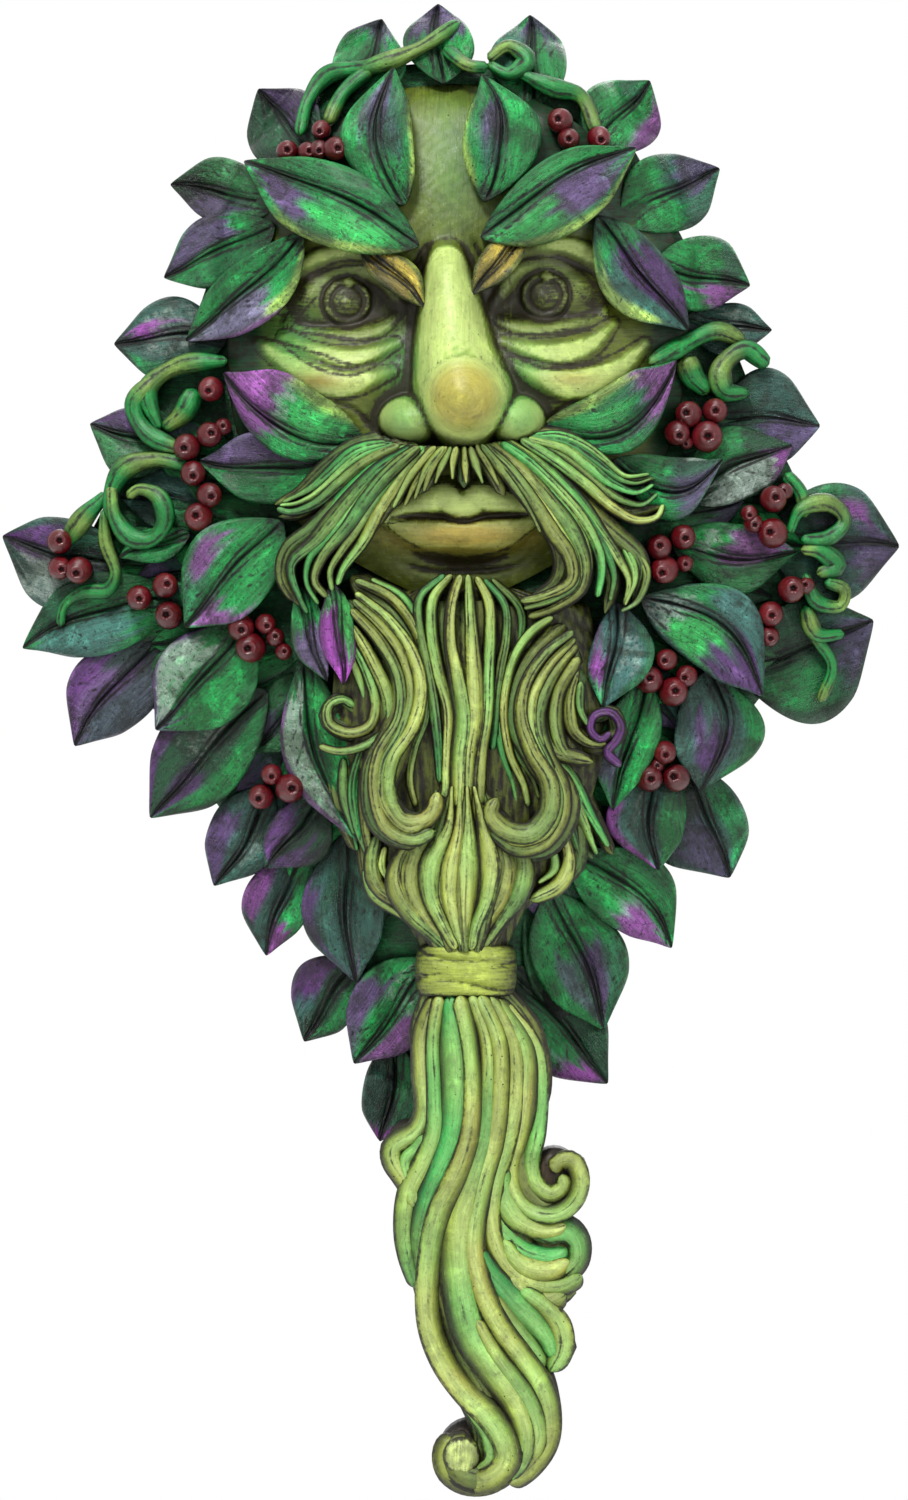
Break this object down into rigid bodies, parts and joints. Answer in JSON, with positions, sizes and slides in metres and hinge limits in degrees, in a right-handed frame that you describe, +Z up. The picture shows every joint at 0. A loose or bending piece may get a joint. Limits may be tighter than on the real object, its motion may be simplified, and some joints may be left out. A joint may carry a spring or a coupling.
{
  "type": "green man wall plaque",
  "caption": "Foliate face with leaves, berries, tendrils, moustache and tied beard, cast in one piece with a flat back to hang on a wall.",
  "frame": {"origin": "on the flat back, in the wall plane, midway between the plaque's sides and midway up its height", "axes": "+Z up along the plaque, +Y out of its back into the wall, so the carving faces -Y"},
  "size_m": [0.2245, 0.07, 0.3729],
  "materials": {
    "painted_resin": "hand-painted resin, satin: emerald and violet leaves, olive skin, yellow-green hair, dark red berries, dark wash in the grooves"
  },
  "bodies": {
    "root": {"green_man_mask": "painted_resin"}
  },
  "joints": []
}
